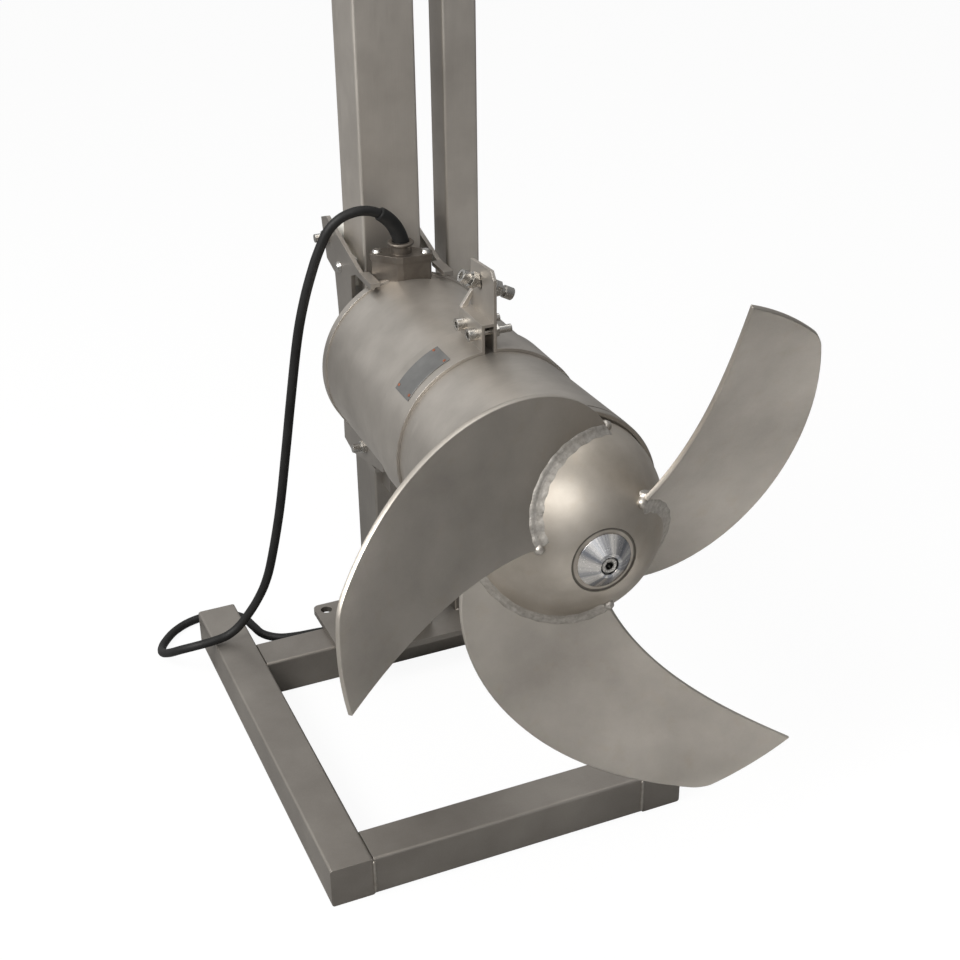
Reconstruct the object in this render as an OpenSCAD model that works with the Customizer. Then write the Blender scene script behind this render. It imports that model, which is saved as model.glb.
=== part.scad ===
// Submersible mixer with a sliding carriage on a guide rail and a floor stand.
// X is right, Y is back, Z is up. The origin is on the floor under the middle of the guide rail.

/* [Stand] */
// Outside width of the square base tubes
tube_w = 60; // [50:1:70]
// Wall of the base tubes
tube_t = 4; // [3:0.5:6]
// From the rail's middle to the inside of the left base tube
left_inset = 226; // [215:1:240]
// From the rail's middle to the inside of the right base tube
right_inset = 168; // [166:1:200]
// From the rail's middle to the front of the base
base_front = 505; // [470:1:560]
// From the rail's middle to the back of the base
base_back = 155; // [120:1:158]
// Thickness of the foot plate
foot_t = 10; // [6:1:16]
// Foot plate's reach to the left of the rail's middle
foot_left = 117; // [105:1:130]
// Foot plate's reach to the right of the rail's middle
foot_right = 160; // [155:1:164]
// Depth of the foot plate
foot_d = 160; // [140:1:168]
// Diameter of the foot plate's corner holes
foot_hole_d = 18; // [12:1:22]
// Distance of the corner holes from the foot plate's edges
foot_hole_inset = 18; // [15:1:24]

/* [Posts] */
// Outside width of the square guide rail
rail_w = 85; // [70:1:95]
// Wall of the guide rail
rail_t = 5; // [3:0.5:8]
// Height of the guide rail's top above the floor
rail_top = 1200; // [1150:5:2000]
// Outside width of the slimmer mast
mast_w = 50; // [40:1:55]
// Wall of the mast
mast_t = 4; // [3:0.5:6]
// From the rail's middle to the mast's middle
mast_x = 113; // [108:1:125]
// Height of the mast's top above the floor
mast_top = 1200; // [1100:5:2000]

/* [Carriage] */
// Thickness of the carriage's side plates
plate_t = 6; // [4:0.5:8]
// Half of the space between the side plates
plate_gap = 54; // [51:0.5:58]
// Radius of the guide rollers
roller_r = 17; // [14:0.5:19]
// Radius of the roller axle bolts
axle_r = 6; // [4:0.5:8]
// Height of the upper roller
upper_roller_z = 695; // [685:1:705]
// Height of the lower roller
lower_roller_z = 415; // [412:1:420]

/* [Motor] */
// Height of the mixer's axis
axis_z = 558; // [556:1:566]
// Radius of the motor barrel
casing_r = 124; // [120:0.5:126]
// Wall of the motor barrel
casing_t = 5; // [4:0.5:7]
// Step from the barrel to the rear rim
rim_step = 2; // [2:0.5:5]
// Step from the barrel to the front rim
front_step = 6; // [4:0.5:8]
// From the rail's middle to the back of the rear rim
rear_d = 92; // [90:1:98]
// From the rail's middle to the front of the motor
front_d = 570; // [564:1:574]
// Thickness of the clamp band
band_t = 4; // [3:0.5:5]
// Width of the clamp band
band_w = 70; // [60:1:76]
// From the rail's middle to the middle of the clamp band
band_d = 345; // [335:1:360]
// Height of the tall lifting ear above the barrel
ear_h = 103; // [90:1:120]
// Radius of the shaft in the rotor core
shaft_r = 25; // [22:0.5:28]

/* [Propeller] */
// Radius of the blade tips
prop_r = 331.5; // [300:0.5:360]
// How much smaller the domed hub's radius is than the front rim's
hub_inset = 7; // [5:0.5:10]
// Wall of the domed hub
hub_t = 5; // [4:0.5:7]
// Thickness of a blade at its root
blade_root_t = 8; // [6:0.5:10]
// Thickness of a blade at its tip
blade_tip_t = 6; // [4:0.5:8]
// How far the tips stand forward of the roots
blade_rake = 97.5; // [80:0.5:110]
// Angle that the leading edge sweeps from root to tip
lead_sweep = 102.5; // [80:0.5:105]
// Angle that the trailing edge sweeps from root to tip
trail_sweep = 27; // [20:0.5:32]

/* [Cable] */
// Radius of the power cable
cable_r = 6.75; // [6:0.25:7.5]
// Radius of the rubber boot at its foot
boot_r = 12; // [11:0.5:13]
// Radius of the rubber boot at its end
boot_end_r = 9.5; // [8.5:0.5:11]

/* [Hidden] */
$fn = 64;

steel = [0.60, 0.58, 0.55];
dark_steel = [0.45, 0.44, 0.42];
bright_steel = [0.78, 0.77, 0.75];
rubber = [0.08, 0.08, 0.09];
nylon = [0.85, 0.84, 0.80];
copper = [0.72, 0.42, 0.26];
iron = [0.35, 0.35, 0.37];

// Room between standing pieces that seat on each other
seat = 0.1;
// Room between pieces that move past each other
slack = 0.3;
// Radial room of a running shaft or ball
run = 0.05;
// Overlap of a cutting shape past the face that it cuts
cut = 1;
// Rounding of the square tubes' long edges
tube_round = 4;

// Square tube section, standing on the floor when width and height are the same
module rounded_square(w, r) {
    square([w - 2 * r, w], center = true);
    square([w, w - 2 * r], center = true);
    for (sx = [-1, 1], sy = [-1, 1])
        translate([sx * (w / 2 - r), sy * (w / 2 - r)]) circle(r);
}

module tube_section(w, t) {
    difference() {
        rounded_square(w, tube_round);
        square(w - 2 * t, center = true);
    }
}

// Runs along Y from y0 to y1 with its underside on the floor
module floor_tube_y(x, y0, y1) {
    translate([x, y1, tube_w / 2]) rotate([90, 0, 0])
        linear_extrude(y1 - y0) tube_section(tube_w, tube_t);
}

// Runs along X from x0 to x1 with its underside on the floor
module floor_tube_x(y, x0, x1) {
    translate([x0, y, tube_w / 2]) rotate([90, 0, 90])
        linear_extrude(x1 - x0) tube_section(tube_w, tube_t);
}

end_cap_t = 4;
left_tube_x = -left_inset - tube_w / 2;
right_tube_x = right_inset + tube_w / 2;
side_y0 = -base_front + end_cap_t;
side_y1 = base_back - end_cap_t;

module base_left_tube() color(steel) floor_tube_y(left_tube_x, side_y0, side_y1);
module base_right_tube() color(steel) floor_tube_y(right_tube_x, side_y0, side_y1);
module base_front_tube() color(steel)
    floor_tube_x(-base_front + tube_w / 2, -left_inset, right_inset);
module base_rear_tube() color(steel) floor_tube_x(0, -left_inset, right_inset);

module base_end_caps() color(steel)
    for (x = [left_tube_x, right_tube_x], y = [side_y0, base_back])
        translate([x, y, tube_w / 2]) rotate([90, 0, 0])
            linear_extrude(end_cap_t) rounded_square(tube_w, tube_round);

foot_top = tube_w + foot_t;
foot_round = 10;

module rail_foot_plate() color(steel)
    translate([0, 0, tube_w]) difference() {
        union() {
            translate([-foot_left + foot_round, -foot_d / 2, 0])
                cube([foot_left + foot_right - 2 * foot_round, foot_d, foot_t]);
            translate([-foot_left, -foot_d / 2 + foot_round, 0])
                cube([foot_left + foot_right, foot_d - 2 * foot_round, foot_t]);
            for (x = [-foot_left + foot_round, foot_right - foot_round], sy = [-1, 1])
                translate([x, sy * (foot_d / 2 - foot_round), 0]) cylinder(h = foot_t, r = foot_round);
        }
        for (x = [-foot_left + foot_hole_inset, foot_right - foot_hole_inset], sy = [-1, 1])
            translate([x, sy * (foot_d / 2 - foot_hole_inset), -cut])
                cylinder(h = foot_t + 2 * cut, d = foot_hole_d);
    }

post_cap_t = 4;

module post(x, w, t, top) {
    translate([x, 0, foot_top]) linear_extrude(top - post_cap_t - foot_top) tube_section(w, t);
}

module guide_rail() color(steel) post(0, rail_w, rail_t, rail_top);
module hoist_mast() color(steel) post(mast_x, mast_w, mast_t, mast_top);

module post_caps() color(steel) {
    translate([0, 0, rail_top - post_cap_t]) linear_extrude(post_cap_t) rounded_square(rail_w, tube_round);
    translate([mast_x, 0, mast_top - post_cap_t])
        linear_extrude(post_cap_t) rounded_square(mast_w, tube_round);
}

// Carriage: the rail runs between two plates, an upper roller behind it and a lower roller in front
rail_half = rail_w / 2;
roller_y = rail_half + roller_r + slack;
cross_bar_z = lower_roller_z - roller_r - 12;
cross_bar_t = 8;
cross_bar_back = rail_half + 2;
stop_w = 60;
stop_d = 30;
stop_h = 40;

module rail_stop() color(steel)
    translate([-stop_w / 2, -rail_half - stop_d, cross_bar_z - cross_bar_t - slack - stop_h])
        cube([stop_w, stop_d, stop_h]);

// Places shapes that turn about the mixer's axis: local Z points forward, local Y points up
module on_axis(station = 0) {
    translate([0, -station, axis_z]) rotate([90, 0, 0]) children();
}

rim_r = casing_r + rim_step;
rim_t = 8;
casing_back = rear_d + rim_t;
dish_depth = 22;
leg_top_front = 116;
leg_low_front = 132;
leg_h = 8;
window_back = 33;
window_low = 60;
back_reach = 87;
peak_back = 64;
peak_h = 38;
waist_back = 30;
shoulder_z = 91;
shoulder_step = 10;
shoulder_back = 71;
flange_w = 14;
flange_back = 72;
window_front = 54;
plate_rise = 2;
plate_top = axis_z + rim_r + plate_rise;
plate_out = plate_gap + plate_t;
pad_y = 15;
pad_rise = 107;
pad_z = axis_z + pad_rise;
pad_w = 60;
pad_h = 40;
pad_bolt_r = 5;

// Everything of the motor's rear end that the carriage and the cable entry sit round
module rear_end_room() {
    on_axis(rear_d - dish_depth - 8) cylinder(h = dish_depth + 8 + rim_t + seat, r = rim_r + seat);
    on_axis(casing_back) cylinder(h = casing_front - casing_back, r = casing_r + seat);
}

// Side plate outline as [forward, up]: a slim arm over the motor's rear end and a broad leg under it
module plate_outline() {
    polygon([
        [-back_reach, plate_top + peak_h - leg_h],
        [-peak_back, plate_top + peak_h],
        [flange_back - 4, plate_top + 1],
        [flange_back, plate_top],
        [leg_top_front, plate_top],
        [leg_top_front, plate_top - leg_h],
        [window_front, plate_top - leg_h - 1],
        [window_back + 2, plate_top - 2 * leg_h - 1],
        [window_back, axis_z + window_low],
        [window_back + 12, axis_z + window_low - 18],
        [leg_low_front, axis_z + window_low - 18],
        [leg_low_front, lower_roller_z - 8],
        [1, lower_roller_z - peak_h],
        [-waist_back - 6, lower_roller_z - waist_back],
        [-waist_back, axis_z + 36],
        [-waist_back - 7, axis_z + shoulder_z],
        [-shoulder_back, axis_z + shoulder_z + shoulder_step]
    ]);
}

module side_plate(side) {
    color(steel) difference() {
        union() {
            translate([side > 0 ? plate_out : -plate_gap, 0, 0]) rotate([90, 0, -90])
                linear_extrude(plate_t) plate_outline();
            translate([side > 0 ? plate_out - flange_w : -plate_out, -leg_top_front, plate_top - plate_t])
                cube([flange_w, leg_top_front - flange_back, plate_t]);
        }
        rear_end_room();
        for (p = [[roller_y, upper_roller_z], [-roller_y, lower_roller_z]])
            translate([-plate_out - cut, p[0], p[1]]) rotate([0, 90, 0])
                cylinder(h = 2 * (plate_out + cut), r = axle_r + seat);
        translate([-plate_out - cut, pad_y, pad_z]) rotate([0, 90, 0])
            cylinder(h = 2 * (plate_out + cut), r = pad_bolt_r + seat);
    }
}

module carriage_left_plate() side_plate(-1);
module carriage_right_plate() side_plate(1);

module carriage_cross_bar() color(steel)
    translate([-plate_gap, -cross_bar_back - 34, cross_bar_z - cross_bar_t])
        cube([2 * plate_gap, 34, cross_bar_t]);

module guide_pads() color(nylon)
    for (side = [-1, 1])
        difference() {
            translate([side > 0 ? rail_half + slack : -plate_gap, pad_y - pad_w / 2, pad_z - pad_h / 2])
                cube([plate_gap - rail_half - slack, pad_w, pad_h]);
            translate([-plate_gap - cut, pad_y, pad_z]) rotate([0, 90, 0])
                cylinder(h = 2 * (plate_gap + cut), r = pad_bolt_r + seat);
        }

pad_bolt_head_r = 9;
pad_bolt_head_h = 5;

module guide_pad_bolts() color(bright_steel)
    for (side = [-1, 1])
        translate([0, pad_y, pad_z]) rotate([0, side * 90, 0]) {
            translate([0, 0, rail_half + 4]) cylinder(h = plate_out - rail_half - 4, r = pad_bolt_r);
            translate([0, 0, plate_out]) cylinder(h = pad_bolt_head_h, r1 = pad_bolt_head_r, r2 = 6);
        }

roller_side_gap = 0.5;

module guide_roller(y, z) {
    color(nylon) translate([-plate_gap + roller_side_gap, y, z]) rotate([0, 90, 0]) difference() {
        cylinder(h = 2 * (plate_gap - roller_side_gap), r = roller_r);
        translate([0, 0, -cut]) cylinder(h = 2 * plate_gap + 2 * cut, r = axle_r + run);
    }
}

module guide_roller_upper() guide_roller(roller_y, upper_roller_z);
module guide_roller_lower() guide_roller(-roller_y, lower_roller_z);

axle_head_h = 8;
axle_tail = 20;
hex_ratio = 1.75;

module roller_axles() color(bright_steel)
    for (p = [[roller_y, upper_roller_z], [-roller_y, lower_roller_z]])
        translate([0, p[0], p[1]]) rotate([0, 90, 0]) {
            translate([0, 0, -plate_out - axle_tail]) cylinder(h = 2 * plate_out + axle_tail, r = axle_r);
            translate([0, 0, plate_out]) cylinder(h = axle_head_h, r = axle_r * hex_ratio, $fn = 6);
        }

module roller_nuts() color(bright_steel)
    for (p = [[roller_y, upper_roller_z], [-roller_y, lower_roller_z]])
        translate([-plate_out - axle_head_h, p[0], p[1]]) rotate([0, 90, 0]) difference() {
            cylinder(h = axle_head_h, r = axle_r * hex_ratio, $fn = 6);
            translate([0, 0, -cut]) cylinder(h = axle_head_h + 2 * cut, r = axle_r + seat);
        }

// Motor barrel and its covers, all turned about the mixer's axis
casing_in = casing_r - casing_t;
front_rim_t = 15;
casing_front = front_d - front_rim_t;
spigot_len = 12;
spigot_r = casing_in - seat;
rear_bore_r = 40;
rear_bearing_d = 116;
rear_bearing_w = 18;
rear_shaft_r = 20;
front_bearing_set = 115;
front_bearing_d = front_d - front_bearing_set;
front_bearing_w = 24;
front_bore_r = 48;
seal_shaft_r = shaft_r - 1;
hub_shaft_r = shaft_r - 2.5;
bracket_set = 11;
bracket_d = front_bearing_d - bracket_set;
bracket_t = 12;
o_ring_r = 2;
o_ring_gap = 0.3;
collar_back = band_d + band_w / 2 + slack;
face_sink = 6;
joint_w = 3;
joint_depth = 4;

// The barrel is plain behind the clamp band and widens evenly from the band to the front
module motor_casing() color(steel)
    on_axis() rotate_extrude($fn = 128) polygon([
        [casing_in, casing_back],
        [casing_r, casing_back],
        [casing_r, collar_back],
        [casing_r + front_step, casing_front],
        [casing_in, casing_front]
    ]);

// Dished cover with a rim, a spigot in the barrel and a blind pocket for the rear bearing
module rear_cover() color(steel)
    on_axis() difference() {
        rotate_extrude($fn = 128) polygon([
            [0, rear_d - dish_depth],
            [rim_r - 32, rear_d - dish_depth],
            [rim_r - 8, rear_d - 6],
            [rim_r - 2, rear_d - 6],
            [rim_r, rear_d - 4],
            [rim_r, casing_back],
            [spigot_r, casing_back],
            [spigot_r, casing_back + spigot_len],
            [spigot_r - 8, casing_back + spigot_len],
            [spigot_r - 8, casing_back],
            [rim_r - 40, rear_d - dish_depth + 10],
            [rear_bore_r + 10, rear_d - dish_depth + 10],
            [rear_bore_r + 10, rear_bearing_d + rear_bearing_w],
            [0, rear_bearing_d + rear_bearing_w]
        ]);
        translate([0, 0, rear_bearing_d]) cylinder(h = rear_bearing_w + cut, r = rear_bore_r + seat);
        translate([0, 0, rear_bearing_d - 10]) cylinder(h = 10 + cut, r = rear_shaft_r + 8);
        o_ring_groove(casing_back + spigot_len / 2);
    }

module o_ring_groove(station) {
    rotate_extrude($fn = 128)
        translate([spigot_r - o_ring_r - o_ring_gap, station]) circle(o_ring_r + o_ring_gap);
    rotate_extrude($fn = 128)
        translate([spigot_r - o_ring_r, station - o_ring_r - o_ring_gap])
            square([2 * o_ring_r, 2 * (o_ring_r + o_ring_gap)]);
}

module cover_o_rings() color(rubber)
    for (station = [casing_back + spigot_len / 2, casing_front - spigot_len / 2])
        on_axis() rotate_extrude($fn = 128)
            translate([spigot_r - o_ring_r - o_ring_gap + seat, station]) circle(o_ring_r);

// Front cover: a ring with a joint line behind it, a sunk face that the hub turns in front of,
// and a boss that holds the shaft seal
module front_cover() color(steel)
    on_axis() difference() {
        rotate_extrude($fn = 128) polygon([
            [seal_shaft_r + 4, front_d - face_sink],
            [hub_r + hub_room, front_d - face_sink],
            [hub_r + hub_room, front_d],
            [casing_r + front_step - 1, front_d],
            [casing_r + front_step, front_d - 1],
            [casing_r + front_step, casing_front + joint_w],
            [casing_r + front_step - joint_depth, casing_front + joint_w],
            [casing_r + front_step - joint_depth, casing_front],
            [spigot_r, casing_front],
            [spigot_r, casing_front - spigot_len],
            [spigot_r - 8, casing_front - spigot_len],
            [spigot_r - 8, casing_front - 4],
            [seal_shaft_r + 24, casing_front - 4],
            [seal_shaft_r + 24, casing_front - 30],
            [seal_shaft_r + 14, casing_front - 30],
            [seal_shaft_r + 14, casing_front - 8],
            [seal_shaft_r + 4, casing_front - 8]
        ]);
        o_ring_groove(casing_front - spigot_len / 2);
    }

module seal_seat() color(iron)
    on_axis(casing_front - 20) difference() {
        cylinder(h = 12 - seat, r = seal_shaft_r + 14 - seat);
        translate([0, 0, -cut]) cylinder(h = 12 + 2 * cut, r = seal_shaft_r + 2);
    }

module seal_ring() color(dark_steel)
    on_axis(casing_front - 20 - slack - 24) difference() {
        cylinder(h = 24, r = seal_shaft_r + 9);
        translate([0, 0, -cut]) cylinder(h = 24 + 2 * cut, r = seal_shaft_r + seat);
    }

// Disc between motor and oil chamber, with the front bearing's seat
module bearing_bracket() color(dark_steel)
    on_axis() rotate_extrude($fn = 128) polygon([
        [front_bore_r + seat, bracket_d],
        [casing_in - seat, bracket_d],
        [casing_in - seat, bracket_d + bracket_t],
        [front_bore_r + 14, bracket_d + bracket_t],
        [front_bore_r + 10, front_bearing_d + front_bearing_w + 8],
        [shaft_r + 6, front_bearing_d + front_bearing_w + 8],
        [shaft_r + 6, front_bearing_d + front_bearing_w],
        [front_bore_r + seat, front_bearing_d + front_bearing_w]
    ]);

core_d0 = 215;
winding_len = 34;
winding_room = 15;
core_len = bracket_d - winding_room - winding_len - core_d0;
air_gap = 0.7;
rotor_core_r = 65;

module stator_core() color(iron)
    on_axis(core_d0) difference() {
        cylinder(h = core_len, r = casing_in - seat, $fn = 128);
        translate([0, 0, -cut]) cylinder(h = core_len + 2 * cut, r = rotor_core_r + air_gap, $fn = 96);
    }

winding_in = rotor_core_r + 12;
winding_out = casing_in - 8;

module stator_windings() color(copper)
    for (station = [core_d0 - winding_len, core_d0 + core_len])
        on_axis(station) rotate_extrude($fn = 96)
            translate([winding_in, 0]) square([winding_out - winding_in, winding_len]);

module rotor_core() color(iron)
    on_axis(core_d0) difference() {
        cylinder(h = core_len, r = rotor_core_r, $fn = 96);
        translate([0, 0, -cut]) cylinder(h = core_len + 2 * cut, r = shaft_r + seat);
    }

// Ball bearing: two rings with a round groove, and the balls between them
ball_room = 0.1;

module bearing_ring(inner_r, outer_r, w, pitch_r, ball_r) {
    difference() {
        rotate_extrude() translate([inner_r, 0]) square([outer_r - inner_r, w]);
        translate([0, 0, w / 2]) rotate_extrude() translate([pitch_r, 0]) circle(ball_r + ball_room);
    }
}

module bearing_outer(station, w, bore_r, out_r, ball_r) {
    pitch_r = (bore_r + out_r) / 2;
    color(bright_steel) on_axis(station) bearing_ring(pitch_r + ball_r * 0.55, out_r, w, pitch_r, ball_r);
}

module bearing_inner(station, w, bore_r, out_r, ball_r) {
    pitch_r = (bore_r + out_r) / 2;
    color(bright_steel) on_axis(station)
        bearing_ring(bore_r + seat, pitch_r - ball_r * 0.55, w, pitch_r, ball_r);
}

module bearing_balls(station, w, bore_r, out_r, ball_r, count) {
    pitch_r = (bore_r + out_r) / 2;
    color(bright_steel) on_axis(station + w / 2)
        for (i = [0:count - 1])
            rotate([0, 0, i * 360 / count]) translate([pitch_r, 0, 0]) sphere(ball_r, $fn = 32);
}

rear_ball_r = 6;
front_ball_r = 7;

module rear_bearing_outer()
    bearing_outer(rear_bearing_d, rear_bearing_w, rear_shaft_r, rear_bore_r, rear_ball_r);
module rear_bearing_inner()
    bearing_inner(rear_bearing_d, rear_bearing_w, rear_shaft_r, rear_bore_r, rear_ball_r);
module rear_bearing_balls()
    bearing_balls(rear_bearing_d, rear_bearing_w, rear_shaft_r, rear_bore_r, rear_ball_r, 9);
module front_bearing_outer()
    bearing_outer(front_bearing_d, front_bearing_w, shaft_r, front_bore_r, front_ball_r);
module front_bearing_inner()
    bearing_inner(front_bearing_d, front_bearing_w, shaft_r, front_bore_r, front_ball_r);
module front_bearing_balls()
    bearing_balls(front_bearing_d, front_bearing_w, shaft_r, front_bore_r, front_ball_r, 10);

// Clamp band: a strap round the barrel, its ends turned up into a short ear and a tall lifting ear
band_in = casing_r + seat;
band_out = band_in + band_t;
ear_gap_left = 8;
ear_gap_right = 4;
short_ear_h = 40;
clamp_screw_r = 5;
clamp_screw_rise = 21;
clamp_screw_z = axis_z + casing_r + clamp_screw_rise;
clamp_screw_gap = 36;
lift_bolt_r = 6;
lift_bolt_rise = 75;
lift_bolt_z = axis_z + casing_r + lift_bolt_rise;
lift_bolt_y = -band_d + 8;
lift_tilt = 28;
lift_hole_r = lift_bolt_r + 2.2;
ear_foot_z = axis_z + casing_r - 2;
ear_top_z = ear_foot_z + short_ear_h;
ear_back = -band_d + band_w / 2;
ear_front = -band_d - band_w / 2;
brace_w = 6;
brace_rise = 22;

module band_ears() {
    translate([-ear_gap_left - band_t, ear_front, ear_foot_z]) cube([band_t, band_w, short_ear_h]);
    translate([-ear_gap_left - band_t, ear_front, ear_top_z - band_t])
        cube([ear_gap_left + band_t + ear_gap_right - seat, band_w, band_t]);
    translate([0, ear_back, 0]) rotate([90, 0, 0]) linear_extrude(brace_w) polygon([
        [-ear_gap_left - band_t, ear_top_z - band_t],
        [-ear_gap_left + band_t / 2, ear_top_z - band_t],
        [ear_gap_right - seat, ear_top_z + brace_rise - 2 * band_t],
        [ear_gap_right - seat, ear_top_z + brace_rise],
        [-ear_gap_left - band_t, ear_top_z]
    ]);
    translate([ear_gap_right, 0, 0]) rotate([90, 0, 90]) linear_extrude(band_t) polygon([
        [ear_front, ear_foot_z],
        [ear_back, ear_foot_z],
        [ear_back, axis_z + casing_r + ear_h - 5],
        [ear_front + 8, axis_z + casing_r + ear_h],
        [ear_front, axis_z + casing_r + ear_h - 10]
    ]);
}

module clamp_band() color(steel)
    difference() {
        union() {
            on_axis(band_d - band_w / 2) difference() {
                cylinder(h = band_w, r = band_out, $fn = 128);
                translate([-ear_gap_left, 0, -cut])
                    cube([ear_gap_left + ear_gap_right, band_out + cut, band_w + 2 * cut]);
            }
            band_ears();
        }
        on_axis(band_d - band_w / 2 - cut) cylinder(h = band_w + 2 * cut, r = band_in, $fn = 128);
        for (sy = [-1, 1])
            translate([-clamp_screw_end, -band_d + sy * clamp_screw_gap / 2, clamp_screw_z])
                rotate([0, 90, 0])
                cylinder(h = 2 * clamp_screw_end, r = clamp_screw_r + seat);
        translate([0, lift_bolt_y, lift_bolt_z]) rotate([0, 90, 0])
            cylinder(h = ear_gap_right + band_t + cut, r = lift_hole_r);
    }

screw_head_r = 8;
screw_head_h = 12;
clamp_screw_end = 34;
nut_h = 8;

module clamp_screws() color(bright_steel)
    for (sy = [-1, 1])
        translate([-ear_gap_left - band_t, -band_d + sy * clamp_screw_gap / 2, clamp_screw_z])
            rotate([0, 90, 0]) difference() {
                union() {
                    translate([0, 0, -screw_head_h]) cylinder(h = screw_head_h, r = screw_head_r);
                    cylinder(h = clamp_screw_end + ear_gap_left + band_t, r = clamp_screw_r);
                }
                translate([0, 0, -screw_head_h - cut]) cylinder(h = 6 + cut, r = 4.6, $fn = 6);
            }

module hex_nut(r, h) {
    difference() {
        cylinder(h = h, r = r * hex_ratio, $fn = 6);
        translate([0, 0, -cut]) cylinder(h = h + 2 * cut, r = r + seat);
    }
}

module clamp_nuts() color(bright_steel)
    for (sy = [-1, 1])
        translate([ear_gap_right + band_t, -band_d + sy * clamp_screw_gap / 2, clamp_screw_z])
            rotate([0, 90, 0]) hex_nut(clamp_screw_r, nut_h);

// The lifting bolt hangs askew in its wide hole, its right end down
lift_nut_off = 8.2;
lift_nut_out = 19;
lift_head_off = 20;
lift_head_h = 10;
lift_head_r = 8;
lift_end_off = 34;
lift_end_h = 12;
washer_t = 2.5;

module at_lift_bolt() {
    translate([ear_gap_right + band_t / 2, lift_bolt_y, lift_bolt_z])
        rotate([0, 90 + lift_tilt, 0]) children();
}

module lifting_bolt() color(bright_steel)
    at_lift_bolt() difference() {
        union() {
            translate([0, 0, -lift_head_off - lift_head_h / 2])
                cylinder(h = lift_head_off + lift_head_h / 2 + lift_end_off + lift_end_h / 2,
                    r = lift_bolt_r);
            translate([0, 0, -lift_head_off - lift_head_h]) cylinder(h = lift_head_h, r = lift_head_r);
            translate([0, 0, lift_end_off]) cylinder(h = lift_end_h, r = lift_head_r);
        }
        translate([0, 0, -lift_head_off - lift_head_h - cut])
            cylinder(h = lift_head_h / 2 + cut, r = lift_bolt_r - 1, $fn = 6);
    }

module lifting_nuts() color(bright_steel)
    at_lift_bolt() {
        translate([0, 0, -lift_nut_off - nut_h]) hex_nut(lift_bolt_r, nut_h);
        translate([0, 0, lift_nut_out]) hex_nut(lift_bolt_r, nut_h);
        translate([0, 0, lift_nut_out - washer_t]) difference() {
            cylinder(h = washer_t, r = lift_bolt_r * hex_ratio);
            translate([0, 0, -cut]) cylinder(h = washer_t + 2 * cut, r = lift_bolt_r + seat);
        }
    }

// Bare plate riveted round the band's upper left
plate_low_angle = 145;
plate_sweep = 33;
name_t = 0.8;
name_w = 42;

module nameplate() color(dark_steel)
    on_axis(band_d - name_w / 2) rotate([0, 0, plate_low_angle - plate_sweep])
        rotate_extrude(angle = plate_sweep, $fn = 128)
            translate([band_out + seat, 0]) square([name_t, name_w]);

module nameplate_rivets() color(copper)
    for (a = [3, plate_sweep - 3], d = [4, name_w - 4])
        on_axis(band_d - name_w / 2 + d) rotate([0, 0, plate_low_angle - plate_sweep + a])
            translate([band_out + seat + name_t, 0, 0]) rotate([0, 90, 0]) cylinder(h = 0.8, r = 2);

// Cable entry: a block on the motor's rear top, a lozenge flange, two screws, a ring and a rubber boot
gland_x = -6;
gland_d = 92;
gland_turn = -25;
gland_len = 42;
gland_dep = 23;
gland_end = 8;
gland_rise = 24;
gland_block_top = axis_z + casing_r + gland_rise;
gland_block_inset = 2;
gland_flange_t = 9;
gland_screw_x = 33;
gland_screw_r = 4;
neck_r = 14.5;
neck_h = 11;
ring_r = 18;
ring_h = 5;
flange_top = gland_block_top + gland_flange_t;
ring_top = flange_top + neck_h + ring_h;

module lozenge(inset) {
    long = gland_len - inset;
    deep = gland_dep - inset;
    polygon([
        [-long, -gland_end], [-4, -deep], [4, -deep], [long, -gland_end],
        [long, gland_end], [4, deep], [-4, deep], [-long, gland_end]
    ]);
}

module at_gland(z) {
    translate([gland_x, -gland_d, z]) rotate([0, 0, gland_turn]) children();
}

module gland_block() color(steel)
    difference() {
        at_gland(axis_z + casing_r - 16) linear_extrude(gland_rise + 16) lozenge(gland_block_inset);
        rear_end_room();
        for (sx = [-1, 1])
            at_gland(gland_block_top - 14) translate([sx * gland_screw_x, 0, 0])
                cylinder(h = 14 + cut, r = gland_screw_r + seat);
        at_gland(axis_z) cylinder(h = casing_r + gland_rise + cut, r = cable_r + seat);
    }

module gland_flange() color(steel)
    at_gland(gland_block_top) difference() {
        union() {
            linear_extrude(gland_flange_t) lozenge(0);
            cylinder(h = gland_flange_t + neck_h, r = neck_r);
        }
        for (sx = [-1, 1])
            translate([sx * gland_screw_x, 0, -cut])
                cylinder(h = gland_flange_t + 2 * cut, r = gland_screw_r + seat);
        translate([0, 0, -cut]) cylinder(h = gland_flange_t + neck_h + 2 * cut, r = cable_r + seat);
    }

module gland_screws() color(bright_steel)
    for (sx = [-1, 1])
        at_gland(flange_top) translate([sx * gland_screw_x, 0, 0]) {
            translate([0, 0, -gland_flange_t - 10]) cylinder(h = gland_flange_t + 10, r = gland_screw_r);
            cylinder(h = 4, r1 = 7, r2 = 5);
        }

module gland_ring() color(steel)
    at_gland(flange_top + neck_h) rotate_extrude() difference() {
        union() {
            translate([boot_r + seat, 0]) square([ring_r - boot_r - seat - ring_h / 2, ring_h]);
            translate([ring_r - ring_h / 2, ring_h / 2]) circle(ring_h / 2);
        }
        translate([-ring_r, -ring_h]) square([ring_r + boot_r + seat, 3 * ring_h]);
    }

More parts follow.
